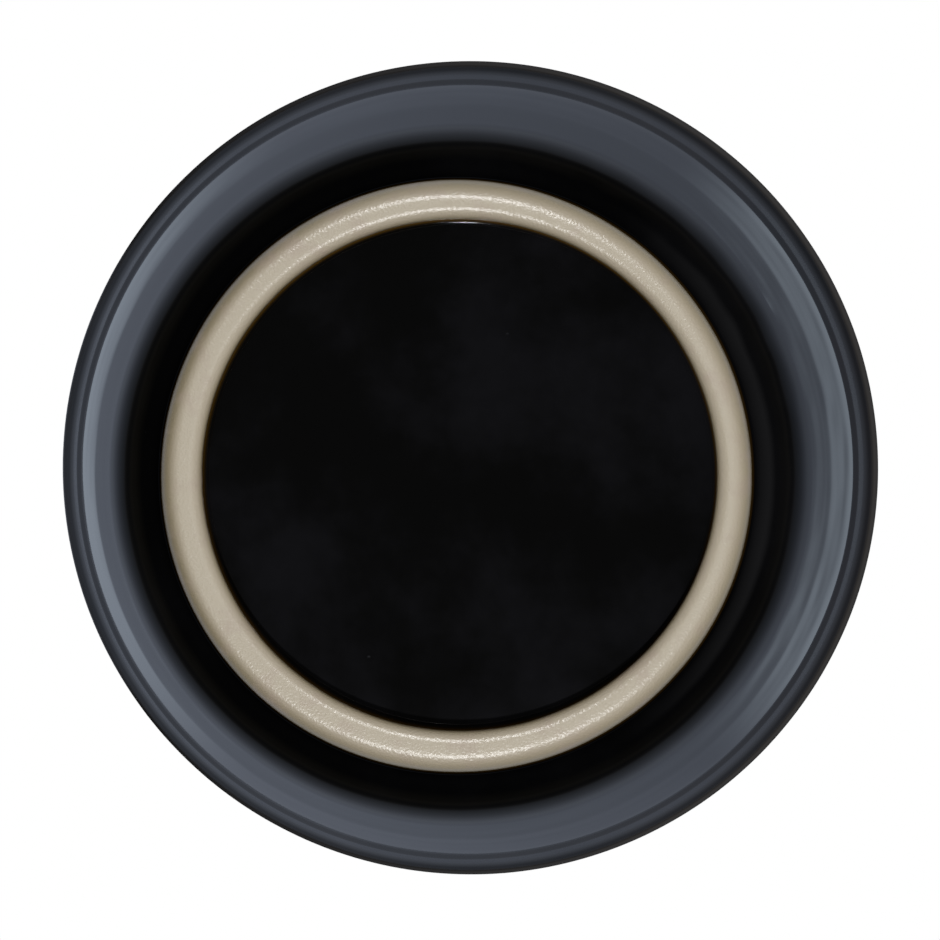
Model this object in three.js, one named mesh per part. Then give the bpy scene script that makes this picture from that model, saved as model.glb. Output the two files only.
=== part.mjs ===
// A round stoneware ramekin, standing upright on its bare foot ring, +Z up, in millimetres.
// One thrown clay body carries four fired coats of glaze. Every piece is turned from the same
// section of the clay, so each coat lies on the clay and on the next coat face to face.

import * as THREE from 'three';

// Overall sizes, measured over the glaze
const RIM_DIAMETER = 100;
const HEIGHT = 44;

// Thicknesses
const GLAZE = 0.5;
const CLAY_WALL = 3.6;
const CLAY_FLOOR = 4.7;

// Foot ring: diameter and width on the ground, before its two edges are rounded
const FOOT_DIAMETER = 68.3;
const FOOT_WIDTH = 3.83;
const FOOT_HEIGHT = 4;
const FOOT_OUTER_DRAFT = 0.35;
const FOOT_INNER_DRAFT = 0.7;
const FOOT_OUTER_ROUNDING = 2.4;
const FOOT_INNER_ROUNDING = 1.35;
const FOOT_ROOT_ROUNDING = 0.8;

// Glazed recess inside the foot ring
const RECESS_DEPTH = 3.2;
const RECESS_ROUNDING = 0.8;

// Heights of the glaze lines, where the glaze was wiped off the ring outside and inside, and
// how far along the clay a coat takes to swell from its edge to its full thickness
const OUTER_GLAZE_LINE = 2.35;
const INNER_GLAZE_LINE = 1.15;
const GLAZE_EDGE = 0.5;

// Belly: where the underside turns up into the wall
const BELLY_DIAMETER = 80.4;
const BELLY_HEIGHT = 8.5;
const BELLY_ROUNDING = 7.5;

// Wall, from the belly to the crease under the collar
const CREASE_DIAMETER = 92.8;
const WALL_BULGE = 0.1;
const WALL_ROUNDING = 130;

// Collar round the rim: a narrow shelf, a hollow neck and a rounded lip
const COLLAR_HEIGHT = 11.2;
const SHELF_WIDTH = 0.65;
const SHELF_RISE = 1.15;
const SHELF_ROUNDING = 0.6;
const NECK_RISE = 2.3;
const NECK_FLARE = 0.6;
const NECK_ROUNDING = 2;
const LIP_DEPTH = 3;
const LIP_UNDER_ROUNDING = 6;
const LIP_ROUNDING = 1.4;

// Inside of the dish
const INNER_CORNER_ROUNDING = 7;
const RIM_GLAZE_DEPTH = 5;

// Fineness of the turned solids, and the shares of a side that the arcs at its ends may use
const SIDES = 64;
const ARC_STEP = THREE.MathUtils.degToRad(22.5);
const SHORTEST_SIDE = 0.01;
const HALF_SIDE = 0.49;
const WHOLE_SIDE = 0.98;

// Sizes that follow from the ones above
const rimRadius = RIM_DIAMETER / 2 - GLAZE;
const lipTop = HEIGHT - GLAZE;
const footRadius = FOOT_DIAMETER / 2;
const recessFace = RECESS_DEPTH + GLAZE;
const bellyRadius = BELLY_DIAMETER / 2;
const creaseRadius = CREASE_DIAMETER / 2;
const creaseHeight = HEIGHT - COLLAR_HEIGHT;
const floorHeight = recessFace + CLAY_FLOOR;
const wallLean = (creaseRadius - bellyRadius) / (creaseHeight - BELLY_HEIGHT);

// Radius of the clay's inner wall at a height: parallel to the outer wall
function innerRadius(height) {
  const sidewaysWall = CLAY_WALL * Math.hypot(1, wallLean);
  return creaseRadius - sidewaysWall + wallLean * (height - creaseHeight);
}

// A corner of the section: radius, height, and the radius of the arc that rounds it
function corner(radius, height, rounding = 0) {
  return { at: new THREE.Vector2(radius, height), rounding };
}

// The point at a height on the straight line between two corners
function pointAtHeight(low, high, height) {
  const share = (height - low.at.y) / (high.at.y - low.at.y);
  const point = low.at.clone().lerp(high.at, share);
  return corner(point.x, point.y);
}

// How much of the side from one corner to the next the first corner's arc may use up
function roomForArc(here, next) {
  const share = next.rounding > 0 ? HALF_SIDE : WHOLE_SIDE;
  return share * here.at.distanceTo(next.at);
}

// The arc that rounds one corner, kept inside the two sides that meet there
function roundCorner(before, here, after) {
  const room = Math.min(roomForArc(here, before), roomForArc(here, after));
  const back = before.at.clone().sub(here.at).normalize();
  const ahead = after.at.clone().sub(here.at).normalize();
  const halfTurn = (Math.PI - Math.acos(THREE.MathUtils.clamp(back.dot(ahead), -1, 1))) / 2;
  const reach = Math.min(here.rounding * Math.tan(halfTurn), room);
  if (reach < SHORTEST_SIDE) {
    return [here.at];
  }
  const radius = reach / Math.tan(halfTurn);
  const inward = back.clone().add(ahead).normalize();
  const centre = here.at.clone().addScaledVector(inward, radius / Math.cos(halfTurn));
  const start = here.at.clone().addScaledVector(back, reach).sub(centre);
  const turnSign = Math.sign(ahead.cross(back));
  const steps = Math.max(1, Math.ceil((2 * halfTurn) / ARC_STEP));
  const arc = [];
  for (let step = 0; step <= steps; step += 1) {
    const angle = (turnSign * 2 * halfTurn * step) / steps;
    arc.push(start.clone().rotateAround(new THREE.Vector2(), angle).add(centre));
  }
  return arc;
}

// The section as one list of points, and where each glaze line and seam falls in that list
function drawSection(corners) {
  const points = [];
  const marks = new Map();
  corners.forEach((here, index) => {
    marks.set(here, points.length);
    if (here.rounding > 0) {
      points.push(...roundCorner(corners[index - 1], here, corners[index + 1]));
    } else {
      points.push(here.at);
    }
  });
  return { points, marks };
}

// Section of the clay, from the middle of the recess, out and up to the lip, and back inside
const recessMiddle = corner(0, recessFace);
const recessEdge = corner(footRadius - FOOT_WIDTH - FOOT_INNER_DRAFT, recessFace, RECESS_ROUNDING);
const footInnerEdge = corner(footRadius - FOOT_WIDTH, 0, FOOT_INNER_ROUNDING);
const footOuterEdge = corner(footRadius, 0, FOOT_OUTER_ROUNDING);
const footRoot = corner(footRadius + FOOT_OUTER_DRAFT, FOOT_HEIGHT, FOOT_ROOT_ROUNDING);
const innerLine = pointAtHeight(footInnerEdge, recessEdge, INNER_GLAZE_LINE);
const innerSwell = pointAtHeight(footInnerEdge, recessEdge, INNER_GLAZE_LINE + GLAZE_EDGE);
const outerLine = pointAtHeight(footOuterEdge, footRoot, OUTER_GLAZE_LINE);
const outerSwell = pointAtHeight(footOuterEdge, footRoot, OUTER_GLAZE_LINE + GLAZE_EDGE);
const belly = corner(bellyRadius, BELLY_HEIGHT, BELLY_ROUNDING);
const midWall = corner(
  (bellyRadius + creaseRadius) / 2 + WALL_BULGE,
  (BELLY_HEIGHT + creaseHeight) / 2 - WALL_BULGE * wallLean,
  WALL_ROUNDING,
);
const crease = corner(creaseRadius, creaseHeight);
const shelfEdge = corner(creaseRadius + SHELF_WIDTH, creaseHeight + SHELF_RISE, SHELF_ROUNDING);
const neck = corner(shelfEdge.at.x + NECK_FLARE, shelfEdge.at.y + NECK_RISE, NECK_ROUNDING);
const lipUnder = corner(rimRadius, lipTop - LIP_DEPTH, LIP_UNDER_ROUNDING);
const lipOuter = corner(rimRadius, lipTop, LIP_ROUNDING);
const lipInner = corner(innerRadius(lipTop), lipTop, LIP_ROUNDING);
const rimSeam = corner(innerRadius(lipTop - RIM_GLAZE_DEPTH), lipTop - RIM_GLAZE_DEPTH);
const innerCorner = corner(innerRadius(floorHeight), floorHeight, INNER_CORNER_ROUNDING);
const floorMiddle = corner(0, floorHeight);

const section = drawSection([
  recessMiddle, recessEdge, innerSwell, innerLine, footInnerEdge, footOuterEdge, outerLine,
  outerSwell, footRoot, belly, midWall, crease, shelfEdge, neck, lipUnder, lipOuter, lipInner,
  rimSeam, innerCorner, floorMiddle,
]);

// The glazed surface over each point of the section: straight out from the clay by the coat's
// thickness, and at a corner far enough to keep that thickness on both sides of it
function glazedPoint(index) {
  const stretch = section.points.slice(Math.max(index - 1, 0), index + 2);
  const normals = stretch.slice(1).map((end, side) => {
    const along = end.clone().sub(stretch[side]).normalize();
    return new THREE.Vector2(along.y, -along.x);
  });
  const outward = new THREE.Vector2();
  normals.forEach((normal) => outward.add(normal));
  outward.normalize();
  const distance = GLAZE / outward.dot(normals[0]);
  return section.points[index].clone().addScaledVector(outward, distance);
}

// The two sides of a coat that lies on the clay between two corners of its section. It starts
// or ends at a glaze line, on bare clay, or else at a seam, against the next coat.
function coatBetween(start, end, glazeLine) {
  const first = section.marks.get(start);
  const last = section.marks.get(end);
  const clay = section.points.slice(first, last + 1);
  const surface = clay.map((point, step) => glazedPoint(first + step));
  if (glazeLine === start) {
    surface.shift();
  }
  if (glazeLine === end) {
    surface.pop();
  }
  return { clay, surface };
}

// Turns a section round the upright axis into a named solid with its own material
function turn(name, points, look) {
  const geometry = new THREE.LatheGeometry(points, SIDES);
  geometry.rotateX(Math.PI / 2);
  const mesh = new THREE.Mesh(geometry, new THREE.MeshStandardMaterial(look));
  mesh.name = name;
  return mesh;
}

// A coat's solid: out along the glazed surface and back along the clay. A coat that covers
// the axis starts and ends there, and any other closes on itself.
function turnCoat(name, { clay, surface }, look) {
  const endsOnAxis = clay[clay.length - 1].x === 0;
  if (endsOnAxis) {
    return turn(name, [...clay].reverse().concat(surface), look);
  }
  const outline = [...surface, ...[...clay].reverse()];
  if (clay[0].x > 0) {
    outline.push(surface[0]);
  }
  return turn(name, outline, look);
}

const clayLook = { color: 0xb5ab98, roughness: 0.8, metalness: 0 };
const wallLook = { color: 0x1b1f26, roughness: 0.08, metalness: 0 };
const recessLook = { color: 0x08090b, roughness: 0.06, metalness: 0 };
const insideLook = { color: 0x101216, roughness: 0.08, metalness: 0 };
const rimLook = { color: 0x28282b, roughness: 0.35, metalness: 0 };

const ramekin = new THREE.Group();

ramekin.add(turn('stoneware_body', section.points, clayLook));
ramekin.add(turnCoat('recess_glaze', coatBetween(recessMiddle, innerLine, innerLine), recessLook));
ramekin.add(turnCoat('wall_glaze', coatBetween(outerLine, crease, outerLine), wallLook));
ramekin.add(turnCoat('rim_glaze', coatBetween(crease, rimSeam), rimLook));
ramekin.add(turnCoat('inside_glaze', coatBetween(rimSeam, floorMiddle), insideLook));

export default ramekin;
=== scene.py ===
from collections import namedtuple
import math

import bmesh
import bpy
from mathutils import Matrix, Vector, noise


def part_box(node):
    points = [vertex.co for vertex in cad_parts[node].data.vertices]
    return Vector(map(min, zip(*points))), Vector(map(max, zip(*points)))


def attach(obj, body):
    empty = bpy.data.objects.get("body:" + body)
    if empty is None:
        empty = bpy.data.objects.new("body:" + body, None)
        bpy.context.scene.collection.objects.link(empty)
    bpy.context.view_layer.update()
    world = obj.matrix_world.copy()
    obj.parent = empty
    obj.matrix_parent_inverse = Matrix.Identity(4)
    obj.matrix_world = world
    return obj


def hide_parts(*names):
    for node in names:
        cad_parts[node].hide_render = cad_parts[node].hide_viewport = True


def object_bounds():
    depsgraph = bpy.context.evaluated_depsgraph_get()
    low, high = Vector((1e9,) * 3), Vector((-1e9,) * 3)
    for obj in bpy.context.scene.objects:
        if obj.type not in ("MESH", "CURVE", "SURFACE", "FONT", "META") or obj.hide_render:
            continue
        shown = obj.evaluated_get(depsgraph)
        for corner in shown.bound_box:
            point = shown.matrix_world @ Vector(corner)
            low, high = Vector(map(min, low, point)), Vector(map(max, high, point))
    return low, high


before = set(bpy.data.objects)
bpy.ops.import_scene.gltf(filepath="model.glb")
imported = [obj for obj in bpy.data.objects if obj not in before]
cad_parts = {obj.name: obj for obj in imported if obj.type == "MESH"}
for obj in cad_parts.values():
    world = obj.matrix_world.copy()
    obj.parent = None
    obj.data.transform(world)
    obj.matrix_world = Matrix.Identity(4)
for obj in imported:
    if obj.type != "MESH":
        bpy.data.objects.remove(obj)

# A round stoneware ramekin: one turned clay body, bare on its foot ring, under four coats of
# glaze. It stands upright on the foot ring, +Z up, in metres. The camera looks up at its foot.

bl_info = {
    "name": "Stoneware ramekin",
    "version": (1, 0, 0),
    "blender": (4, 5, 0),
    "location": "3D View > Sidebar > Ramekin",
    "description": "Turns a glazed stoneware ramekin with a bare foot ring, and sets its stage",
    "category": "Add Mesh",
}

MM = 0.001
BODY = "root"

# Fineness of the turned meshes
SEGMENTS = 288
ARC_STEP = math.radians(6)
LONGEST_SIDE = 0.6 * MM
SHORTEST_SIDE = 0.01 * MM
HALF_SIDE = 0.49
WHOLE_SIDE = 0.98
SHARP_EDGE = math.radians(38)


def linear(srgb):
    """Turns an sRGB hex colour into linear red, green and blue."""
    channels = (int(srgb[place:place + 2], 16) / 255 for place in (1, 3, 5))
    return tuple(
        channel / 12.92 if channel <= 0.04045 else ((channel + 0.055) / 1.055) ** 2.4
        for channel in channels)


def length(name, description, millimetres):
    """A size that a user can change, given in millimetres and kept in metres."""
    return bpy.props.FloatProperty(
        name=name, description=description, default=millimetres * MM, min=0,
        subtype="DISTANCE", unit="LENGTH", precision=5)


def colour(name, description, srgb):
    """A colour that a user can change, given as sRGB hex and kept linear."""
    return bpy.props.FloatVectorProperty(
        name=name, description=description, default=linear(srgb), size=3, min=0, max=1,
        subtype="COLOR")


def power(name, description, watts):
    """The power of a lamp that a user can change, in watts."""
    return bpy.props.FloatProperty(
        name=name, description=description, default=watts, min=0, subtype="POWER", unit="POWER")


rim_low, rim_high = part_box("rim_glaze")
whole_low, whole_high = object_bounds()


class RamekinSizes(bpy.types.PropertyGroup):
    """The sizes of the dish."""
    rim_diameter: length(
        "Rim diameter", "Across the lip, over the glaze", (rim_high.x - rim_low.x) / MM)
    height: length("Height", "From the table to the top of the lip", whole_high.z / MM)
    glaze: length("Glaze", "Thickness of each coat of glaze", 0.5)
    clay_wall: length("Clay wall", "Thickness of the wall", 3.6)
    clay_floor: length("Clay floor", "Thickness of the floor of the dish", 4.7)
    foot_diameter: length("Foot diameter", "Across the ground, before rounding", 68.3)
    foot_width: length("Foot width", "Of the ring on the ground, before rounding", 4.32)
    foot_height: length("Foot height", "From the table to the underside", 4)
    foot_outer_draft: length("Outer draft", "How far the foot leans out", 0.35)
    foot_inner_draft: length("Inner draft", "How far the foot leans in to the recess", 0.1)
    foot_outer_rounding: length("Outer edge", "Rounding of the foot's outer edge", 2.4)
    foot_inner_rounding: length("Inner edge", "Rounding of the foot's inner edge", 1.85)
    foot_root_rounding: length("Foot root", "Rounding where the foot meets the body", 0.8)
    foot_offset_x: length("Recess offset X", "How far the recess was cut off centre", 0.47)
    foot_offset_y: length("Recess offset -Y", "How far the recess was cut off centre", 0.19)
    belly_offset_x: length("Belly offset X", "How far the belly was turned off centre", 0.15)
    belly_offset_y: length("Belly offset Y", "How far the belly was turned off centre", 0.05)
    recess_depth: length("Recess depth", "From the table to the glazed recess", 3.2)
    recess_rounding: length("Recess corner", "Rounding at the edge of the recess", 0.28)
    outer_glaze_line: length("Outer glaze line", "Height of the glaze line outside", 2.35)
    inner_glaze_line: length("Inner glaze line", "Height of the glaze line inside", 1.6)
    glaze_edge: length("Glaze edge", "How far the wall's coat takes to thicken", 5)
    recess_glaze_edge: length(
        "Recess glaze edge", "How far the recess's coat takes to thicken", 8)
    belly_diameter: length("Belly diameter", "Where the underside turns up, unrounded", 80.4)
    belly_height: length("Belly height", "Where the underside turns up", 8.5)
    belly_rounding: length("Belly rounding", "Between the underside and the wall", 7.5)
    crease_diameter: length("Crease diameter", "Across the crease under the collar", 92.8)
    wall_bulge: length("Wall bulge", "How far the wall swells", 0.1)
    wall_rounding: length("Wall rounding", "Radius of the wall's swell", 130)
    collar_height: length("Collar height", "From the crease to the top of the lip", 11.2)
    shelf_width: length("Shelf width", "Of the shelf over the crease", 0.65)
    shelf_rise: length("Shelf rise", "Of the shelf over the crease", 1.15)
    shelf_rounding: length("Shelf edge", "Rounding of the shelf's edge", 0.6)
    neck_flare: length("Neck flare", "How far the neck leans out", 0.6)
    neck_rise: length("Neck rise", "Height of the neck", 2.3)
    neck_rounding: length("Neck hollow", "Rounding between neck and lip", 2)
    lip_depth: length("Lip depth", "Of the lip's outer side", 3)
    lip_under_rounding: length("Lip's lower edge", "Rounding under the lip", 6)
    lip_rounding: length("Lip's edges", "Rounding on top of the lip", 1.4)
    inner_rounding: length("Inner corner", "Rounding between wall and floor inside", 7)
    rim_glaze_depth: length("Rim glaze depth", "How far the rim's coat runs in", 5)
    out_of_round: length("Out of round", "How far the rim is oval, either way", 0.08)
    recess_out_of_round: length(
        "Recess out of round", "How far the recess is oval, either way", 0.1)


class RamekinColours(bpy.types.PropertyGroup):
    """The colours of the clay, the glazes and the floor."""
    clay: colour("Clay", "Wiped stoneware on the sides of the foot ring", "#B1A693")
    clay_worn: colour("Worn clay", "Where the ring stands on the table", "#B4AA97")
    # olive tone, and partly painted shade on the ring's rounded edges
    clay_outer: colour("Outer clay", "Olive tone towards the outer glaze line", "#9F937A")
    clay_blush: colour("Clay blush", "Pinkish patches of the kiln's flame", "#A8988A")
    # painted shade, with a yellower tone, on the ring's outer half at -X, turned from the light
    clay_shade_and_tint: colour("Clay flash", "Where the flame darkened one side of the ring", "#8C8066")
    # a stain by the glaze, and partly painted shade where the ring turns into the recess
    clay_edge: colour("Clay edge", "Stained by the glaze next to its line", "#4A3A22")
    glaze_break: colour("Thin glaze", "Brown, where a coat runs out", "#43300F")
    # partly a real break of the glaze, partly painted light: lighter grey on the lip's outer
    # side, more where it catches more light
    rim_break_and_light: colour("Thin rim glaze", "Grey, where the coat draws thin over the lip", "#8C8884")
    recess: colour("Recess glaze", "Black gloss glaze", "#040404")
    wall: colour("Wall glaze", "Blue-black gloss glaze", "#030304")
    rim: colour("Rim glaze", "Charcoal glaze of the collar", "#17110E")
    inside: colour("Inside glaze", "Black gloss glaze of the dish", "#050608")
    bloom: colour("Bloom", "Faint film on the glaze", "#0B0B0D")
    dust: colour("Dust", "Specks of dust on the glaze", "#2C2E30")
    floor: colour("Floor", "The pale floor", "#F7F7F5")


class RamekinStage(bpy.types.PropertyGroup):
    """The camera and the light."""
    camera_distance: length("Camera distance", "From the table down to the camera", 700)
    focal_length: bpy.props.FloatProperty(
        name="Focal length", description="Of the camera's lens, in millimetres", default=231.7,
        min=1, subtype="DISTANCE_CAMERA", unit="CAMERA")
    strobe: power("Strobe", "The small lamp beside the camera, for the recess", 10)
    strips: power("Strips", "Each strip light beside the camera, for the clay", 2.3)
    fill: power("Fill", "The broad light under the dish", 5.3)
    key_box: power("Key box", "The soft box over the dish", 12)
    studio: bpy.props.FloatProperty(
        name="Studio", description="Level of the light from the studio's walls and ceiling",
        default=1, min=0, soft_max=2, subtype="FACTOR")


class Spot:
    """One spot of the section: its radius and height, the radius of the arc that rounds it, how
    far it goes with the recess that was cut off centre, from 0 to 1, and its mark where a coat
    starts or ends. Measuring the section adds the way out of the clay, how much further a coat
    reaches at a bend, and the distance along the clay from the middle of the ring."""

    def __init__(self, at, rounding=0.0, with_recess=0.0, mark=None):
        self.at = Vector(at)
        self.rounding = rounding
        self.with_recess = with_recess
        self.mark = mark
        self.out = Vector((0, 0))
        self.stretch = 1.0
        self.along = 0.0


def spot_at_height(low, high, height, with_recess, mark):
    """A marked spot at a height on the straight line between two corners."""
    share = (height - low.at.y) / (high.at.y - low.at.y)
    return Spot(low.at.lerp(high.at, share), with_recess=with_recess, mark=mark)


def room_for_arc(here, beside):
    """How much of the side between two corners the first one's arc may use up."""
    share = HALF_SIDE if beside.rounding > 0 else WHOLE_SIDE
    return share * (here.at - beside.at).length


def round_corner(before, here, after):
    """The arc that rounds one corner, kept inside the two sides that meet there."""
    room = min(room_for_arc(here, before), room_for_arc(here, after))
    back = (before.at - here.at).normalized()
    ahead = (after.at - here.at).normalized()
    half_turn = (math.pi - back.angle(ahead)) / 2
    reach = min(here.rounding * math.tan(half_turn), room)
    if reach < SHORTEST_SIDE:
        return [here]
    radius = reach / math.tan(half_turn)
    centre = here.at + (back + ahead).normalized() * (radius / math.cos(half_turn))
    start = here.at + back * reach - centre
    turn_sign = math.copysign(1, ahead.x * back.y - ahead.y * back.x)
    steps = max(2, math.ceil(2 * half_turn / ARC_STEP))
    arc = []
    for step in range(steps + 1):
        turned = Matrix.Rotation(turn_sign * 2 * half_turn * step / steps, 2) @ start
        arc.append(Spot(turned + centre, with_recess=here.with_recess))
    return arc


def draw_section(sizes):
    """The section of the clay, from the middle of the recess, out, up to the lip and back in."""
    rim_radius = sizes.rim_diameter / 2 - sizes.glaze
    lip_top = sizes.height - sizes.glaze
    foot_radius = sizes.foot_diameter / 2
    recess_face = sizes.recess_depth + sizes.glaze
    belly_radius = sizes.belly_diameter / 2
    crease_radius = sizes.crease_diameter / 2
    crease_height = sizes.height - sizes.collar_height
    floor_height = recess_face + sizes.clay_floor
    lean = (crease_radius - belly_radius) / (crease_height - sizes.belly_height)
    inner_wall = crease_radius - sizes.clay_wall * math.hypot(1, lean)

    def inside(height, rounding=0.0, mark=None):
        return Spot((inner_wall + lean * (height - crease_height), height), rounding, mark=mark)

    recess_middle = Spot((0, recess_face), with_recess=1, mark="recess_middle")
    recess_edge = Spot(
        (foot_radius - sizes.foot_width - sizes.foot_inner_draft, recess_face),
        sizes.recess_rounding, with_recess=1)
    foot_inner = Spot(
        (foot_radius - sizes.foot_width, 0), sizes.foot_inner_rounding, with_recess=1)
    foot_outer = Spot((foot_radius, 0), sizes.foot_outer_rounding)
    foot_root = Spot(
        (foot_radius + sizes.foot_outer_draft, sizes.foot_height), sizes.foot_root_rounding)
    inner_line = spot_at_height(
        foot_inner, recess_edge, sizes.inner_glaze_line, with_recess=1, mark="inner_line")
    outer_line = spot_at_height(
        foot_outer, foot_root, sizes.outer_glaze_line, with_recess=0, mark="outer_line")
    belly = Spot((belly_radius, sizes.belly_height), sizes.belly_rounding)
    mid_wall = Spot(
        ((belly_radius + crease_radius) / 2 + sizes.wall_bulge,
         (sizes.belly_height + crease_height) / 2 - sizes.wall_bulge * lean),
        sizes.wall_rounding)
    crease = Spot((crease_radius, crease_height), mark="crease")
    shelf_edge = Spot(
        crease.at + Vector((sizes.shelf_width, sizes.shelf_rise)), sizes.shelf_rounding)
    neck = Spot(
        shelf_edge.at + Vector((sizes.neck_flare, sizes.neck_rise)), sizes.neck_rounding)
    lip_under = Spot((rim_radius, lip_top - sizes.lip_depth), sizes.lip_under_rounding)
    lip_outer = Spot((rim_radius, lip_top), sizes.lip_rounding)
    lip_inner = inside(lip_top, sizes.lip_rounding)
    rim_seam = inside(lip_top - sizes.rim_glaze_depth, mark="rim_seam")
    inner_corner = inside(floor_height, sizes.inner_rounding)
    floor_middle = Spot((0, floor_height), mark="floor_middle")

    corners = [
        recess_middle, recess_edge, inner_line, foot_inner, foot_outer, outer_line, foot_root,
        belly, mid_wall, crease, shelf_edge, neck, lip_under, lip_outer, lip_inner, rim_seam,
        inner_corner, floor_middle]
    spots = []
    for index, here in enumerate(corners):
        if here.rounding > 0:
            spots += round_corner(corners[index - 1], here, corners[index + 1])
        else:
            spots.append(here)
    spots = split_long_sides(spots)
    measure_section(spots)
    return spots


def split_long_sides(spots):
    """The section with more spots on its long sides, so that the surface can swell there."""
    finer = [spots[0]]
    for end in spots[1:]:
        start = finer[-1]
        parts = max(1, math.ceil((end.at - start.at).length / LONGEST_SIDE))
        for part in range(1, parts):
            share = part / parts
            with_recess = start.with_recess + (end.with_recess - start.with_recess) * share
            finer.append(Spot(start.at.lerp(end.at, share), with_recess=with_recess))
        finer.append(end)
    return finer


def measure_section(spots):
    """Gives each spot its direction out of the clay and its distance along the clay."""
    gone = 0.0
    for index, spot in enumerate(spots):
        sides = []
        if index > 0:
            sides.append(spot.at - spots[index - 1].at)
            gone += sides[0].length
        if index < len(spots) - 1:
            sides.append(spots[index + 1].at - spot.at)
        normals = [Vector((side.y, -side.x)).normalized() for side in sides]
        spot.out = sum(normals, Vector((0, 0))).normalized()
        spot.stretch = 1 / spot.out.dot(normals[0])
        spot.along = gone
    on_ground = [spot.along for spot in spots if spot.at.y < SHORTEST_SIDE]
    middle = (min(on_ground) + max(on_ground)) / 2
    for spot in spots:
        spot.along -= middle


def mark_index(spots, mark):
    """The index of a marked spot of the section."""
    return next(index for index, spot in enumerate(spots) if spot.mark == mark)


# What the wheel, the sponge and the kiln leave on the shape. A ripple runs round the axis: how
# far it moves the surface, about how many there are to a turn, and its seed. A swell lies in
# space: how far it moves the surface, how wide it is, and its seed. A band is how wide a
# stretch of the section something fades over.
CELLS_TO_A_RIPPLE = 1.6

# The two glaze lines wander, and so does the worn ring
INNER_LINE_RIPPLES = ((0.16 * MM, 9, 3.1), (0.08 * MM, 30, 3.1))
OUTER_LINE_RIPPLES = ((0.2 * MM, 9, 8.7), (0.1 * MM, 30, 8.7))
LINE_BAND = 0.9 * MM
RING_RIPPLES = ((0.1 * MM, 7, 5.5), (0.04 * MM, 40, 1.5))
RING_BAND = 1.8 * MM

# The outer glaze line was wiped wider on one side: how much, where round the ring, how far
WIPED_WIDER = 0.16 * MM
WIPED_SIDE = -math.pi / 2
WIPED_REACH = math.radians(24)
WIPED_BAND = 1.4 * MM

# Where the belly, turned off centre, is furthest off
BELLY_SHIFT_HEIGHT = 9.5 * MM
BELLY_SHIFT_BAND = 8 * MM

# The uneven lay of the glaze
LAY_SWELLS = ((0.014 * MM, 11 * MM, 0.0), (0.006 * MM, 4.5 * MM, 7.0))

# Ridges of the throwing: height, distance apart, and how quickly they change round the dish;
# and from what height they show, and over how far they grow
RIDGES = ((0.005 * MM, 3.6 * MM, 1.0), (0.0015 * MM, 1.6 * MM, 1.7))
RIDGE_DRIFT = 0.7
RIDGES_FROM = 11 * MM
RIDGES_GROW = 4 * MM

# Runs in the glaze under the belly, some all round and more on one side
RUN_RIPPLES = ((0.05 * MM, 44, 2.2),)
RUN_SWELLS = ((0.03 * MM, 3.5 * MM, 4.0),)
RUN_HEIGHT = 7.5 * MM
RUN_BAND = 3.5 * MM
RUN_ALL_ROUND = 0.35
RUN_AT_SIDE = 1.3
RUN_SIDE = math.radians(-38)
RUN_REACH = math.radians(32)

# The coat lies full on the underside, and thin over the crease that it drew away from
FULL_BY = 0.06 * MM
FULL_HEIGHT = 6 * MM
FULL_BAND = 1.8 * MM
THIN_BY = 0.05 * MM
THIN_OVER_CREASE = 0.8 * MM
THIN_BAND = 2.4 * MM

# The coat draws thin over the lip, and thinner still on the lip's outer side: how far under
# the top that starts, how far it takes, and what share of the thickness goes. The outer side
# loses more towards +X, and more along Y than along X. Its grey there is partly a real break of
# the glaze and partly painted light, lighter where the lip catches more light.
LIP_THINS_BELOW = 7.7 * MM
LIP_THINS_OVER = 1.3 * MM
LIP_THINNING = 0.55
EDGE_THINS_BELOW = 5.6 * MM
EDGE_THINS_OVER = 1 * MM
EDGE_THINNING = 0.15
EDGE_LIT_TO_ONE_SIDE = 0.05
EDGE_LIT_TO_TWO_SIDES = 0.04


def rippled(angle, ripples):
    """Smooth noise round the axis, in metres."""
    height = 0.0
    for most, around, seed in ripples:
        reach = around / math.tau * CELLS_TO_A_RIPPLE
        height += most * noise.noise(
            Vector((math.cos(angle) * reach, math.sin(angle) * reach, seed)))
    return height


def swollen(place, swells):
    """Smooth noise in space, in metres."""
    return sum(
        most * noise.noise(Vector((place.x / width, place.y / width, place.z / width + seed)))
        for most, width, seed in swells)


def bell(distance, reach):
    """1 where the distance is nothing, falling smoothly to almost nothing at twice the reach."""
    return math.exp(-((distance / reach) ** 2))


def grown(distance, reach):
    """How far a change that takes the reach has come, from 0 to 1."""
    return min(max(distance / reach, 0), 1)


def glaze_relief(spot, place, angle, sizes):
    """How far the fired surface of a coat lies over or under its even thickness: a soft uneven
    lay, ridges of the throwing under it, runs where the underside turns into the wall, a full
    middle of the underside, and a thin place at the crease that it drew away from."""
    drift = Vector((RIDGE_DRIFT * math.cos(angle), RIDGE_DRIFT * math.sin(angle)))
    ridges = grown(spot.at.y - RIDGES_FROM, RIDGES_GROW) * sum(
        most * noise.noise(Vector((*(drift * quickness), spot.along / apart)))
        for most, apart, quickness in RIDGES)
    relief = swollen(place, LAY_SWELLS) + ridges
    if spot.out.x <= 0:
        return relief
    off_recess = 1 - spot.with_recess
    from_side = math.remainder(angle - RUN_SIDE, math.tau)
    at_side = RUN_ALL_ROUND + RUN_AT_SIDE * bell(from_side, RUN_REACH)
    run = bell(spot.at.y - RUN_HEIGHT, RUN_BAND) * off_recess * at_side * (
        rippled(angle, RUN_RIPPLES) + swollen(place, RUN_SWELLS))
    full = FULL_BY * bell(spot.at.y - FULL_HEIGHT, FULL_BAND) * off_recess
    crease_height = sizes.height - sizes.collar_height
    thin = THIN_BY * bell(spot.at.y - crease_height - THIN_OVER_CREASE, THIN_BAND)
    return relief + (run + full - thin)


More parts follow.
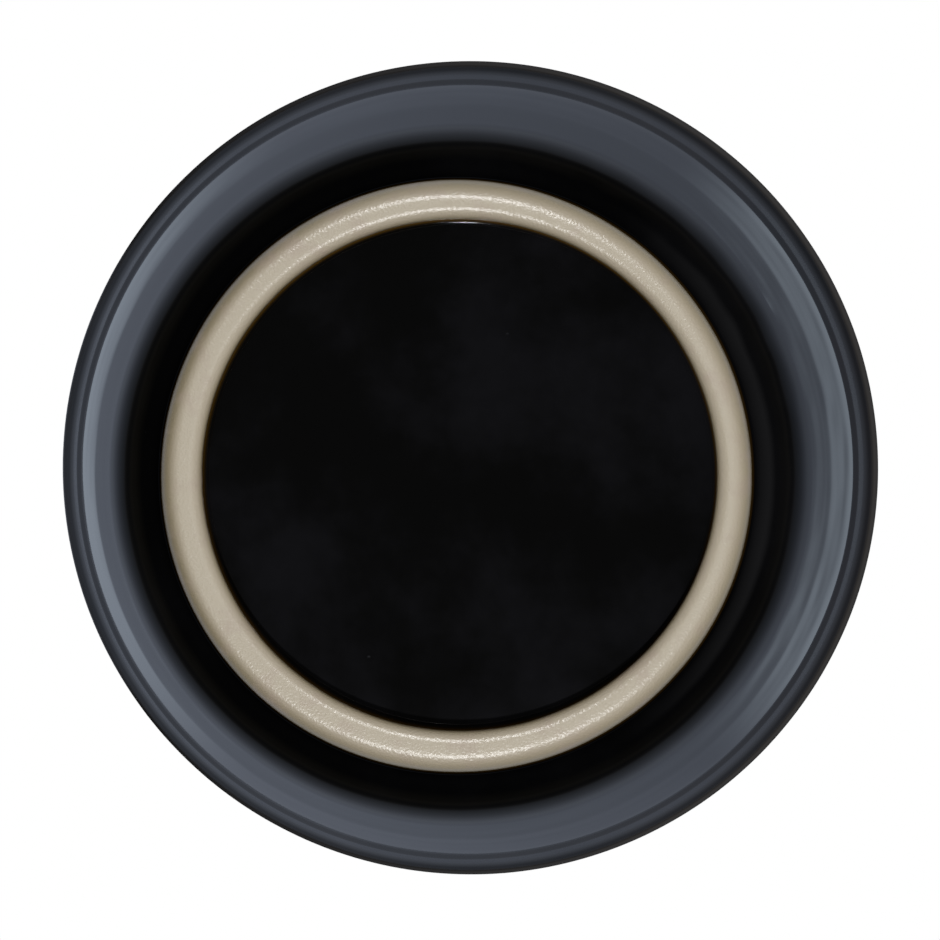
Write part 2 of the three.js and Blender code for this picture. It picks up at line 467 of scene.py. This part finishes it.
def cover(spot, angle, sizes):
    """How well the glaze covers the clay, as a share of its thickness: it draws thin where it
    breaks over the lip, and thinnest on the lip's outer side. The grey of that outer side is
    partly a real break and partly painted light: it thins more towards +X and along Y, where the
    lip catches more light."""
    under_top = spot.at.y - sizes.height
    edge = max(spot.out.x, 0) * (
        EDGE_THINNING + EDGE_LIT_TO_ONE_SIDE * math.cos(angle)
        - EDGE_LIT_TO_TWO_SIDES * math.cos(2 * angle))
    return (1 - LIP_THINNING * grown(under_top + LIP_THINS_BELOW, LIP_THINS_OVER)
            - edge * grown(under_top + EDGE_THINS_BELOW, EDGE_THINS_OVER))


def turned_place(spot, angle, thickness, lines, sizes):
    """Where a spot of the section comes to lie at an angle round the axis, after the wheel,
    the knife that cut the recess, the sponge that wiped the ring, and the run of the glaze."""
    direction = Vector((math.cos(angle), math.sin(angle), 0))
    radius, height = spot.at
    radius += math.cos(2 * angle) * (
        sizes.out_of_round * height / sizes.height
        + sizes.recess_out_of_round * spot.with_recess)
    wave = 0.0
    for line, ripples in zip(lines, (INNER_LINE_RIPPLES, OUTER_LINE_RIPPLES)):
        wave += bell(spot.along - line, LINE_BAND) * rippled(angle, ripples)
    radius -= spot.out.y * wave
    height += spot.out.x * wave
    from_wiped = math.remainder(angle - WIPED_SIDE, math.tau)
    radius += WIPED_WIDER * bell(from_wiped, WIPED_REACH) * bell(
        spot.along - lines[1], WIPED_BAND)
    radius += bell(spot.along, RING_BAND) * rippled(angle, RING_RIPPLES)
    place = direction * radius + Vector((0, 0, height))
    place += Vector((sizes.foot_offset_x, -sizes.foot_offset_y, 0)) * spot.with_recess
    if spot.out.x > 0 and spot.with_recess == 0:
        place += Vector((sizes.belly_offset_x, sizes.belly_offset_y, 0)) * bell(
            height - BELLY_SHIFT_HEIGHT, BELLY_SHIFT_BAND)
    if thickness > 0:
        outward = direction * spot.out.x + Vector((0, 0, spot.out.y))
        share = thickness / sizes.glaze
        place += outward * (
            thickness * spot.stretch + share * glaze_relief(spot, place, angle, sizes))
    return place


def turn(name, outline, lines, sizes):
    """Turns an outline round the axis into a smooth closed mesh. Each entry of the outline is
    a spot of the section and the thickness of the glaze at that side of it. The lines say how
    far along the section the two glaze lines are."""
    mesh = bpy.data.meshes.new(name)
    build = bmesh.new()
    glazed, along = (build.verts.layers.float.new(layer) for layer in ("thickness", "along"))
    rings = []
    for spot, thickness in outline:
        on_axis = spot.at.x < SHORTEST_SIDE
        ring = []
        for step in range(1 if on_axis else SEGMENTS):
            angle = math.tau * step / SEGMENTS
            vertex = build.verts.new(turned_place(spot, angle, thickness, lines, sizes))
            vertex[glazed] = thickness * cover(spot, angle, sizes)
            vertex[along] = spot.along
            ring.append(vertex)
        rings.append(ring)
    pairs = list(zip(rings, rings[1:]))
    starts_on_axis = len(rings[0]) == 1
    if not starts_on_axis:
        pairs.append((rings[-1], rings[0]))
    for low, high in pairs:
        for step in range(SEGMENTS):
            after = (step + 1) % SEGMENTS
            if len(low) == 1:
                build.faces.new((low[0], high[after], high[step]))
            elif len(high) == 1:
                build.faces.new((low[step], low[after], high[0]))
            else:
                build.faces.new((low[step], low[after], high[after], high[step]))
    bmesh.ops.recalc_face_normals(build, faces=build.faces)
    for face in build.faces:
        face.smooth = True
    build.to_mesh(mesh)
    build.free()
    mesh.set_sharp_from_angle(angle=SHARP_EDGE)
    made = bpy.data.objects.new(name, mesh)
    bpy.context.scene.collection.objects.link(made)
    return made


def coat_outline(spots, coat, sizes):
    """The outline of a coat between two marks of the section. At a glaze line it thins out to
    nothing over the width of its edge; at a seam it keeps its full thickness."""
    first, last = mark_index(spots, coat.start), mark_index(spots, coat.end)
    covered = spots[first:last + 1]
    edge = getattr(sizes, coat.edge)
    lines = [spots[index].along for index, mark in ((first, coat.start), (last, coat.end))
             if mark.endswith("_line")]
    surface = []
    for spot in covered:
        share = 1.0
        for line in lines:
            reach = min(abs(spot.along - line) / edge, 1)
            share = min(share, reach * (2 - reach))
        if share > 0:
            surface.append((spot, sizes.glaze * share))
    bare = [(spot, 0.0) for spot in reversed(covered)]
    if covered[-1].at.x < SHORTEST_SIDE:
        return bare + surface
    return surface + bare


def finish_piece(piece, node_name, material):
    """Gives a piece its material, hangs it on the body, and hides the solid that it stands for.
    """
    piece.data.materials.append(material)
    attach(piece, BODY)
    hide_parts(node_name)


def section_for(scene):
    """The section in the scene's sizes, and how far along it the two glaze lines are."""
    spots = draw_section(scene.ramekin_sizes)
    lines = tuple(
        spots[mark_index(spots, mark)].along for mark in ("inner_line", "outer_line"))
    return spots, lines


# A new colour ramp comes with this many stops
NEW_RAMP_STOPS = 2


def add(tree, kind, settings=None, inputs=None, stops=()):
    """Adds a node. Its settings are its own fields; its inputs are values, or other nodes'
    outputs to link, by the input's name or number; its stops are those of a colour ramp, each a
    place from 0 to 1 and a grey or a colour."""
    made = tree.nodes.new(kind)
    for field, value in (settings or {}).items():
        setattr(made, field, value)
    for slot, value in (inputs or {}).items():
        if isinstance(value, bpy.types.NodeSocket):
            tree.links.new(value, made.inputs[slot])
        else:
            made.inputs[slot].default_value = value
    for index, (place, value) in enumerate(stops):
        elements = made.color_ramp.elements
        element = elements[index] if index < NEW_RAMP_STOPS else elements.new(place)
        shade = (value,) * 3 if isinstance(value, (int, float)) else value
        element.position, element.color = place, (*shade, 1)
    return made


def new_material(name):
    """An empty material with a Principled surface, and its tree."""
    material = bpy.data.materials.new(name)
    material.use_nodes = True
    tree = material.node_tree
    return material, tree, tree.nodes["Principled BSDF"]


# The bare ring's colours lie across it, between these distances along the clay from its
# middle: in past the inner glaze line, and out past the outer one
RING_INNER, RING_OUTER = -2.6 * MM, 3.8 * MM
# The darker, yellower side of the ring, partly painted shade where it is turned from the light,
# starts at one X and is full at the other, on the ring's outer half
SHADE_SIDE_FROM, SHADE_SIDE_FULL, SHADE_SIDE_SHARE = -4 * MM, -33 * MM, 0.85
# Pinkish patches, and sand grains with their depth and their tone beside the clay's
PATCH_WIDTH = 4 * MM
PATCH_SHARE = 0.55
GRAIN_WIDTH = 0.3 * MM
GRAIN_DEPTH = 0.042 * MM
GRAIN_DARKEST, GRAIN_LIGHTEST = 0.993, 1.006


def wiped_stoneware(colours):
    """Stoneware clay, fired bare and wiped with a sponge: matt cream with a fine grain, worn
    grey and half glossy where it stands, olive and pink towards the glaze, dark at its edge. Its
    darkening towards both edges of the ring, and on the outer half at -X, is partly painted
    shade."""
    material, tree, surface = new_material("bare_stoneware_wiped")
    object_place = add(tree, "ShaderNodeTexCoord").outputs["Object"]
    along = add(tree, "ShaderNodeAttribute", {"attribute_name": "along"}).outputs["Fac"]
    across = add(tree, "ShaderNodeMapRange", {}, {
        "Value": along, "From Min": RING_INNER, "From Max": RING_OUTER}).outputs["Result"]
    clay, worn, outer, edge = (
        colours.clay, colours.clay_worn, colours.clay_outer, colours.clay_edge)
    # the bands are partly painted shade: darker towards both rounded edges of the ring, where it
    # turns from the light, besides the clay's own olive tone and the glaze's brown stain at its
    # line
    bands_and_shade = add(tree, "ShaderNodeValToRGB", {}, {"Fac": across}, (
        (0.0, edge), (0.1, outer), (0.2, clay), (0.34, worn), (0.5, worn),
        (0.62, clay), (0.8, outer), (0.97, outer)))
    # painted shade, with a yellower tone: the outer half of the ring is darker on the -X side,
    # turned from the light
    sides = add(tree, "ShaderNodeSeparateXYZ", {}, {"Vector": object_place}).outputs
    one_side = add(tree, "ShaderNodeMapRange", {"interpolation_type": "SMOOTHSTEP"}, {
        "Value": sides["X"], "From Min": SHADE_SIDE_FROM, "From Max": SHADE_SIDE_FULL,
        "To Max": SHADE_SIDE_SHARE})
    outer_half = add(tree, "ShaderNodeMapRange", {"interpolation_type": "SMOOTHSTEP"}, {
        "Value": across, "From Min": 0.5, "From Max": 0.75})
    shade_side_share = add(tree, "ShaderNodeMath", {"operation": "MULTIPLY"}, {
        0: one_side.outputs["Result"], 1: outer_half.outputs["Result"]})
    shade_side_tinted = add(tree, "ShaderNodeMix", {"data_type": "RGBA"}, {
        "Factor": shade_side_share.outputs[0], "A": bands_and_shade.outputs["Color"],
        "B": (*colours.clay_shade_and_tint, 1)})
    # patches of the flame, 4 mm across
    patches = add(tree, "ShaderNodeTexNoise", {}, {
        "Vector": object_place, "Scale": 1 / PATCH_WIDTH, "Detail": 3.0, "Roughness": 0.6})
    patch_share = add(tree, "ShaderNodeMapRange", {}, {
        "Value": patches.outputs["Fac"], "From Min": 0.52, "From Max": 0.72,
        "To Max": PATCH_SHARE})
    blushed = add(tree, "ShaderNodeMix", {"data_type": "RGBA"}, {
        "Factor": patch_share.outputs["Result"], "A": shade_side_tinted.outputs["Result"],
        "B": (*colours.clay_blush, 1)})
    # sand grains, 0.3 mm across, a little lighter or darker than the clay between them
    grains = add(tree, "ShaderNodeTexNoise", {}, {
        "Vector": object_place, "Scale": 1 / GRAIN_WIDTH, "Detail": 1.0, "Roughness": 0.5})
    grain_tone = add(tree, "ShaderNodeMapRange", {}, {
        "Value": grains.outputs["Fac"], "From Min": 0.3, "From Max": 0.7,
        "To Min": GRAIN_DARKEST, "To Max": GRAIN_LIGHTEST})
    toned = add(tree, "ShaderNodeVectorMath", {"operation": "SCALE"}, {
        0: blushed.outputs["Result"], "Scale": grain_tone.outputs["Result"]})
    bump = add(tree, "ShaderNodeBump", {}, {
        "Height": grains.outputs["Fac"], "Strength": 1.0, "Distance": GRAIN_DEPTH})
    tree.links.new(toned.outputs["Vector"], surface.inputs["Base Color"])
    tree.links.new(bump.outputs["Normal"], surface.inputs["Normal"])
    surface.inputs["IOR"].default_value = 1.5
    surface.inputs["Specular IOR Level"].default_value = 1.0
    surface.inputs["Roughness"].default_value = 0.3
    return material


# A coat is broken through to the clay at the first share of its even thickness, and keeps its
# own colour from the second on
BROKEN_AT, WHOLE_AT = 0.04, 0.45
FULL_SHINE = 0.5
# The bloom's patches, and how much rougher it makes the glaze than the coat's own figure
BLOOM_WIDTH = 22 * MM
BLOOM_SMOOTHEST, BLOOM_DULLEST = 0.8, 1.4
# Specks of dust, how they lie and how long they are drawn, and how far from its middle a speck
# is whole and ends, as shares of the spacing
DUST_SPACING = 6 * MM
DUST_TURN = 0.4
DUST_SQUEEZE = 0.6
SPECK_CORE, SPECK_EDGE = 0.01, 0.025
GRIT_WIDTH = 0.3 * MM
GRIT_DEPTH = 0.02 * MM


def gloss_glaze(coat, colours, sizes):
    """Dark gloss glaze on stoneware, dipped and fired: a black mirror with a faint bluish bloom
    and some dust. Where the coat runs thin it sinks into the clay and turns matt, brown at a
    glaze line and grey on the lip; the grey on the lip's outer side is partly painted light."""
    material, tree, surface = new_material(f"glaze_{coat.colour}_dipped")
    tone, thin_tone = ((*getattr(colours, name), 1) for name in (coat.colour, coat.broken))
    object_place = add(tree, "ShaderNodeTexCoord").outputs["Object"]
    thickness = add(tree, "ShaderNodeAttribute", {"attribute_name": "thickness"}).outputs["Fac"]
    thin = add(tree, "ShaderNodeMapRange", {}, {
        "Value": thickness, "From Min": BROKEN_AT * sizes.glaze,
        "From Max": WHOLE_AT * sizes.glaze, "To Min": 1.0, "To Max": 0.0})
    # bloom on the glaze, in soft patches 22 mm across
    clouds = add(tree, "ShaderNodeTexNoise", {}, {
        "Vector": object_place, "Scale": 1 / BLOOM_WIDTH, "Detail": 5.0, "Roughness": 0.6})
    bloom = add(tree, "ShaderNodeMapRange", {"interpolation_type": "SMOOTHSTEP"}, {
        "Value": clouds.outputs["Fac"], "From Min": 0.42, "From Max": 0.7})
    toned = add(tree, "ShaderNodeMix", {"data_type": "RGBA"}, {
        "Factor": bloom.outputs["Result"], "A": tone, "B": (*colours.bloom, 1)})
    # for the rim coat the thin tone on the lip's outer side is partly painted light
    broken = add(tree, "ShaderNodeMix", {"data_type": "RGBA"}, {
        "Factor": thin.outputs["Result"], "A": toned.outputs["Result"], "B": thin_tone})
    # specks of dust, 0.2 mm wide and 0.35 mm long, some 6 mm apart
    dust_place = add(tree, "ShaderNodeMapping", {}, {
        "Vector": object_place, "Rotation": (0, 0, DUST_TURN),
        "Scale": (DUST_SQUEEZE, 1, 1)}).outputs[0]
    cells = add(tree, "ShaderNodeTexVoronoi", {}, {
        "Vector": dust_place, "Scale": 1 / DUST_SPACING, "Randomness": 1.0})
    speck = add(tree, "ShaderNodeMapRange", {}, {
        "Value": cells.outputs["Distance"], "From Min": SPECK_CORE, "From Max": SPECK_EDGE,
        "To Min": coat.dusty, "To Max": 0.0})
    dusted = add(tree, "ShaderNodeMix", {"data_type": "RGBA"}, {
        "Factor": speck.outputs["Result"], "A": broken.outputs["Result"],
        "B": (*colours.dust, 1)})
    dulling = add(tree, "ShaderNodeMapRange", {}, {
        "Value": clouds.outputs["Fac"], "From Min": 0.3, "From Max": 0.8,
        "To Min": coat.roughness * BLOOM_SMOOTHEST, "To Max": coat.roughness * BLOOM_DULLEST})
    shine = add(tree, "ShaderNodeMapRange", {}, {
        "Value": thickness, "From Min": coat.dull * sizes.glaze,
        "From Max": coat.full * sizes.glaze, "To Min": 0.0, "To Max": FULL_SHINE})
    # pinholes and grit under the glaze, 0.3 mm across
    grit = add(tree, "ShaderNodeTexNoise", {}, {
        "Vector": object_place, "Scale": 1 / GRIT_WIDTH, "Detail": 1.0})
    bump = add(tree, "ShaderNodeBump", {}, {
        "Height": grit.outputs["Fac"], "Strength": coat.grain, "Distance": GRIT_DEPTH})
    tree.links.new(dusted.outputs["Result"], surface.inputs["Base Color"])
    tree.links.new(dulling.outputs["Result"], surface.inputs["Roughness"])
    tree.links.new(shine.outputs["Result"], surface.inputs["Specular IOR Level"])
    tree.links.new(bump.outputs["Normal"], surface.inputs["Normal"])
    surface.inputs["IOR"].default_value = coat.index
    return material


class RAMEKIN_OT_clay_body(bpy.types.Operator):
    """Turns the clay body, bare on its foot ring"""
    bl_idname = "ramekin.clay_body"
    bl_label = "Clay body"

    def execute(self, context):
        scene = context.scene
        spots, lines = section_for(scene)
        outline = [(spot, 0.0) for spot in spots]
        piece = turn("clay_body", outline, lines, scene.ramekin_sizes)
        material = wiped_stoneware(scene.ramekin_colours)
        finish_piece(piece, "stoneware_body", material)
        return {"FINISHED"}


# A coat of glaze: its piece, the marks of the section where it starts and ends, its solid, its
# colour, its colour where it is thin, how far it takes to thicken, the shares of its thickness
# from which and at which it shines, its roughness, its refractive index, how dusty it is and
# how grainy
Coat = namedtuple(
    "Coat", "piece start end node colour broken edge dull full roughness index dusty grain")

COATS = (
    Coat("recess_coat", "recess_middle", "inner_line", "recess_glaze", "recess",
         "glaze_break", "recess_glaze_edge", 0.15, 0.6, 0.06, 1.5, 0.35, 0.01),
    Coat("wall_coat", "outer_line", "crease", "wall_glaze", "wall",
         "glaze_break", "glaze_edge", 0.5, 0.92, 0.06, 1.5, 0.2, 0.01),
    Coat("rim_coat", "crease", "rim_seam", "rim_glaze", "rim",
         "rim_break_and_light", "glaze_edge", 0.36, 0.98, 0.2, 1.36, 0.0, 0.12),
    Coat("inside_coat", "rim_seam", "floor_middle", "inside_glaze", "inside",
         "glaze_break", "glaze_edge", 0.42, 0.92, 0.06, 1.5, 0.1, 0.01),
)


class RAMEKIN_OT_glaze_coats(bpy.types.Operator):
    """Lays the four coats of glaze on the clay"""
    bl_idname = "ramekin.glaze_coats"
    bl_label = "Glaze coats"

    def execute(self, context):
        scene = context.scene
        sizes, colours = scene.ramekin_sizes, scene.ramekin_colours
        spots, lines = section_for(scene)
        for coat in COATS:
            outline = coat_outline(spots, coat, sizes)
            piece = turn(coat.piece, outline, lines, sizes)
            finish_piece(piece, coat.node, gloss_glaze(coat, colours, sizes))
        return {"FINISHED"}


# The studio's room. By the angle up from straight down, in degrees, how bright each part is, as
# a grey or as linear red, green and blue
ROOM_BY_ANGLE = {
    "walls": (
        (14, 0.02), (58, 0.03), (66, 0.024), (72, 0.015), (77, 0.015),
        (80, (0.036, 0.033, 0.026)), (83, (0.072, 0.067, 0.056)), (86, 0.044), (90, 0.055),
        (92, 0.07), (94, (0.1, 0.105, 0.115)), (97, (0.14, 0.152, 0.18)),
        (104, (0.17, 0.193, 0.234)), (112, (0.215, 0.24, 0.3)), (120, (0.262, 0.295, 0.37)),
        (128, (0.29, 0.325, 0.405)), (134, (0.28, 0.32, 0.39)), (139, (0.25, 0.28, 0.345)),
        (145, (0.21, 0.235, 0.295)), (151, 0)),
    "ceiling": (
        (145, 0), (151, (0.185, 0.207, 0.258)), (154.2, (0.172, 0.194, 0.24)),
        (155.8, (0.185, 0.207, 0.258)), (160, (0.2, 0.222, 0.265)), (180, (0.24, 0.27, 0.32))),
    "ends": (
        (88, 0), (92, 0.015), (96, 0.07), (104, 0.115), (118, 0.13), (126, 0.105), (134, 0.07),
        (140, 0.035), (150, 0)),
    "panels": ((154.4, 0), (155.3, 0.6), (155.7, 1)),
    "overhead": ((170.5, 0), (172.5, 1), (180, 1)),
    "low_right": ((60, 0), (63, 1), (70.5, 1), (75, 0.15), (80, 0.1), (88, 0)),
}
# How a part changes round the room: the way in which it grows, and its level square to that way
ROOM_BY_HEADING = {
    "walls": ((-0.1, 0, 0), 1.0),
    "ceiling": ((-0.15, -0.03, 0), 1.0),
    "ends": ((0, 1, 0), 0.0),
    "panels": ((0.2, 0, 0), 1.0),
    "low_right": ((1, 0, 0), 0.0),
}
# The room is squared up to the camera, which stands beside the dish's axis
ROOM_DOWN = (-0.031, 0.02, -1)
# How far to either side the panels start and are full, as a share of the way to the horizon
PANELS_FROM, PANELS_FULL = 0.225, 0.375
# How squarely to the right the low light starts and is full
LOW_LIGHT_FROM, LOW_LIGHT_FULL = 0.45, 0.95


def studio_world(level):
    """The studio round the dish: nearly dark below, then blue-grey walls, brighter at both ends
    of the room, a low light at the right, and a ceiling with a panel at the left, one at the
    right and a bright one overhead. The camera itself sees it all as plain white."""
    world = bpy.data.worlds.new("studio")
    world.use_nodes = True
    tree = world.node_tree
    tree.nodes.clear()
    direction = add(tree, "ShaderNodeTexCoord").outputs["Generated"]
    parts = add(tree, "ShaderNodeSeparateXYZ", {}, {"Vector": direction}).outputs
    upright = add(tree, "ShaderNodeVectorMath", {"operation": "DOT_PRODUCT"}, {
        0: direction, 1: ROOM_DOWN})
    angle_up = add(tree, "ShaderNodeMath", {"operation": "ARCCOSINE"}, {
        0: upright.outputs["Value"]})
    angle_share = add(tree, "ShaderNodeMath", {"operation": "DIVIDE"}, {
        0: angle_up.outputs[0], 1: math.pi})
    level_part = add(tree, "ShaderNodeCombineXYZ", {}, {"X": parts["X"], "Y": parts["Y"]})
    heading = add(tree, "ShaderNodeVectorMath", {"operation": "NORMALIZE"}, {
        0: level_part.outputs[0]})
    graded = {}
    for part, stops in ROOM_BY_ANGLE.items():
        ramp = add(tree, "ShaderNodeValToRGB", {}, {"Fac": angle_share.outputs[0]}, [
            (degrees / 180, tone) for degrees, tone in stops])
        graded[part] = ramp.outputs["Color"]
    headed = {}
    for part, (way, square_on) in ROOM_BY_HEADING.items():
        along = add(tree, "ShaderNodeVectorMath", {"operation": "DOT_PRODUCT"}, {
            0: heading.outputs["Vector"], 1: way})
        grows = add(tree, "ShaderNodeMath", {"operation": "ADD"}, {
            0: along.outputs["Value"], 1: square_on})
        headed[part] = grows.outputs[0]
    walls, ceiling = (
        add(tree, "ShaderNodeVectorMath", {"operation": "SCALE"}, {
            0: graded[part], "Scale": headed[part]}).outputs["Vector"]
        for part in ("walls", "ceiling"))
    lit = add(tree, "ShaderNodeMix", {"data_type": "RGBA", "blend_type": "ADD"}, {
        "Factor": 1.0, "A": walls, "B": ceiling}).outputs["Result"]
    both_ends = add(tree, "ShaderNodeMath", {"operation": "POWER"}, {0: headed["ends"], 1: 2.0})
    sideways = add(tree, "ShaderNodeMath", {"operation": "ABSOLUTE"}, {0: parts["X"]})
    to_sides = add(tree, "ShaderNodeMapRange", {"interpolation_type": "SMOOTHSTEP"}, {
        "Value": sideways.outputs[0], "From Min": PANELS_FROM, "From Max": PANELS_FULL})
    panels_share = add(tree, "ShaderNodeMath", {"operation": "MULTIPLY"}, {
        0: to_sides.outputs["Result"], 1: headed["panels"]})
    to_right = add(tree, "ShaderNodeMapRange", {"interpolation_type": "SMOOTHSTEP"}, {
        "Value": headed["low_right"], "From Min": LOW_LIGHT_FROM, "From Max": LOW_LIGHT_FULL})
    for part, share, tone in (
            ("ends", both_ends.outputs[0], (1, 1.06, 1.18)),
            ("panels", panels_share.outputs[0], (0.26, 0.305, 0.345)),
            ("overhead", 1.0, (2.4, 2.4, 2.4)),
            ("low_right", to_right.outputs["Result"], (0.15, 0.15, 0.155))):
        factor = add(tree, "ShaderNodeMath", {"operation": "MULTIPLY"}, {
            0: graded[part], 1: share})
        lit = add(tree, "ShaderNodeMix", {"data_type": "RGBA", "blend_type": "ADD"}, {
            "Factor": factor.outputs[0], "A": lit, "B": (*tone, 1)}).outputs["Result"]
    studio = add(tree, "ShaderNodeBackground", {}, {"Color": lit, "Strength": level})
    white = add(tree, "ShaderNodeBackground", {}, {"Color": (1, 1, 1, 1), "Strength": 1.0})
    seen = add(tree, "ShaderNodeLightPath").outputs["Is Camera Ray"]
    either = add(tree, "ShaderNodeMixShader", {}, {
        0: seen, 1: studio.outputs[0], 2: white.outputs[0]})
    add(tree, "ShaderNodeOutputWorld", {}, {"Surface": either.outputs[0]})
    return world


# A soft box: its name, the setting that holds its power, its place, its width and height, and
# the one piece that it lights. One that lights every piece doesn't show in the glaze.
SoftBox = namedtuple("SoftBox", "name power place width height piece")

SOFT_BOXES = (
    SoftBox("key_box", "key_box", (0, 0, 1.5), 0.5, 0.5, None),
    SoftBox("fill", "fill", (0.3, 0, -0.9), 0.9, 0.9, None),
    SoftBox("strobe", "strobe", (-0.045, 0.45, -0.78), 0.05, 0.06, "recess_coat"),
    SoftBox("near_strip", "strips", (-0.02, 0.4, -0.78), 0.28, 0.08, "clay_body"),
    SoftBox("far_strip", "strips", (-0.02, -0.4, -0.78), 0.28, 0.08, "clay_body"),
)


def stand_soft_box(box, watts):
    """Stands a soft box that shines at the dish, and isn't seen itself."""
    lamp = bpy.data.lights.new(box.name, "AREA")
    lamp.shape = "RECTANGLE"
    lamp.size, lamp.size_y = box.width, box.height
    lamp.energy = watts
    made = bpy.data.objects.new(box.name, lamp)
    made.location = box.place
    made.rotation_euler = (-Vector(box.place)).to_track_quat("-Z", "Y").to_euler()
    made.visible_camera = False
    bpy.context.scene.collection.objects.link(made)
    if box.piece is None:
        made.visible_glossy = False
    else:
        lit = bpy.data.collections.new(f"lit_by_{box.name}")
        lit.objects.link(bpy.data.objects[box.piece])
        made.light_linking.receiver_collection = lit


# The floor, in metres: how far from the dish it starts to fade and has faded for the camera,
# how far it reaches for all other light, and how far under the foot it lies
FLOOR_FADES_FROM = 0.2
FLOOR_FADED_AT = 0.5
FLOOR_RADIUS = 1.5
FLOOR_SIDES = 96
FLOOR_BELOW = 0.2 * MM


def lay_floor(tone):
    """Matt white paper, laid flat as the floor: a pale ground that keeps the dish's shadow,
    shows in its glaze, and fades into the white all round where the camera sees it. It is there
    from above only: to a camera under it, and to all light on that camera's way, it is clear."""
    mesh = bpy.data.meshes.new("floor")
    build = bmesh.new()
    bmesh.ops.create_circle(
        build, cap_ends=True, segments=FLOOR_SIDES, radius=FLOOR_RADIUS,
        matrix=Matrix.Translation((0, 0, -FLOOR_BELOW)))
    build.to_mesh(mesh)
    build.free()
    floor = bpy.data.objects.new("floor", mesh)
    bpy.context.scene.collection.objects.link(floor)
    material, tree, surface = new_material("floor_paper_matt")
    place = add(tree, "ShaderNodeTexCoord").outputs["Object"]
    away = add(tree, "ShaderNodeVectorMath", {"operation": "LENGTH"}, {0: place})
    nearness = add(tree, "ShaderNodeMapRange", {"interpolation_type": "SMOOTHSTEP"}, {
        "Value": away.outputs["Value"], "From Min": FLOOR_FADES_FROM,
        "From Max": FLOOR_FADED_AT, "To Min": 1.0, "To Max": 0.0})
    from_above = add(tree, "ShaderNodeMath", {"operation": "SUBTRACT"}, {
        0: 1.0, 1: add(tree, "ShaderNodeNewGeometry").outputs["Backfacing"]})
    path = add(tree, "ShaderNodeLightPath").outputs
    not_passed = add(tree, "ShaderNodeMath", {"operation": "LESS_THAN"}, {
        0: path["Transparent Depth"], 1: 0.5})
    there = add(tree, "ShaderNodeMath", {"operation": "MULTIPLY"}, {
        0: from_above.outputs[0], 1: not_passed.outputs[0]})
    faded = add(tree, "ShaderNodeMix", {"data_type": "FLOAT"}, {
        "Factor": path["Is Camera Ray"], "A": 1.0, "B": nearness.outputs["Result"]})
    shown = add(tree, "ShaderNodeMath", {"operation": "MULTIPLY"}, {
        0: there.outputs[0], 1: faded.outputs["Result"]})
    surface.inputs["Base Color"].default_value = (*tone, 1)
    surface.inputs["Roughness"].default_value = 0.9
    surface.inputs["Specular IOR Level"].default_value = 0.0
    tree.links.new(shown.outputs[0], surface.inputs["Alpha"])
    mesh.materials.append(material)


# The camera under the foot: its place beside the axis, the point that it looks at, which way is
# up in its picture, the width of its sensor in millimetres, and from where to where it sees
CAMERA_BESIDE = (30.8 * MM, -18.5 * MM)
CAMERA_AIM = Vector((0.083, 0.2, 41.5)) * MM
CAMERA_UP = Vector((0, -1, 0))
SENSOR_WIDTH = 36
SEEN_FROM, SEEN_TO = 0.01, 10


def stand_camera(stage):
    """The camera under the foot, which looks up at it from beside the axis."""
    data = bpy.data.cameras.new("camera")
    data.lens = stage.focal_length
    data.sensor_width = SENSOR_WIDTH
    data.clip_start, data.clip_end = SEEN_FROM, SEEN_TO
    camera = bpy.data.objects.new("camera", data)
    bpy.context.scene.collection.objects.link(camera)
    place = Vector((*CAMERA_BESIDE, -stage.camera_distance))
    ahead = (CAMERA_AIM - place).normalized()
    right = ahead.cross(CAMERA_UP).normalized()
    up = right.cross(ahead)
    facing = Matrix((right, up, -ahead)).transposed().to_4x4()
    camera.matrix_world = Matrix.Translation(place) @ facing
    return camera


class RAMEKIN_OT_stage(bpy.types.Operator):
    """Sets the floor, the studio's light and the camera under the foot"""
    bl_idname = "ramekin.stage"
    bl_label = "Stage"

    def execute(self, context):
        scene = context.scene
        stage = scene.ramekin_stage
        lay_floor(tuple(scene.ramekin_colours.floor))
        scene.world = studio_world(stage.studio)
        for box in SOFT_BOXES:
            stand_soft_box(box, getattr(stage, box.power))
        scene.camera = stand_camera(stage)
        scene.view_settings.view_transform = "Standard"
        return {"FINISHED"}


OPERATORS = (RAMEKIN_OT_clay_body, RAMEKIN_OT_glaze_coats, RAMEKIN_OT_stage)


class RAMEKIN_PT_panel(bpy.types.Panel):
    """Lists the pieces of the ramekin with their sizes and colours"""
    bl_idname = "RAMEKIN_PT_panel"
    bl_label = "Ramekin"
    bl_space_type = "VIEW_3D"
    bl_region_type = "UI"
    bl_category = "Ramekin"

    def draw(self, context):
        layout = self.layout
        for operator in OPERATORS:
            layout.operator(operator.bl_idname)
        for group in ("ramekin_sizes", "ramekin_colours", "ramekin_stage"):
            box = layout.box()
            settings = getattr(context.scene, group)
            for name in settings.bl_rna.properties.keys():
                if name not in ("rna_type", "name"):
                    box.prop(settings, name)


GROUPS = {
    "ramekin_sizes": RamekinSizes,
    "ramekin_colours": RamekinColours,
    "ramekin_stage": RamekinStage,
}


def register():
    for made in (*GROUPS.values(), *OPERATORS, RAMEKIN_PT_panel):
        bpy.utils.register_class(made)
    for name, group in GROUPS.items():
        setattr(bpy.types.Scene, name, bpy.props.PointerProperty(type=group))


def unregister():
    for name in GROUPS:
        delattr(bpy.types.Scene, name)
    for made in reversed((*GROUPS.values(), *OPERATORS, RAMEKIN_PT_panel)):
        bpy.utils.unregister_class(made)


def main():
    register()
    bpy.ops.ramekin.clay_body()
    bpy.ops.ramekin.glaze_coats()
    bpy.ops.ramekin.stage()


if __name__ == "__main__":
    main()
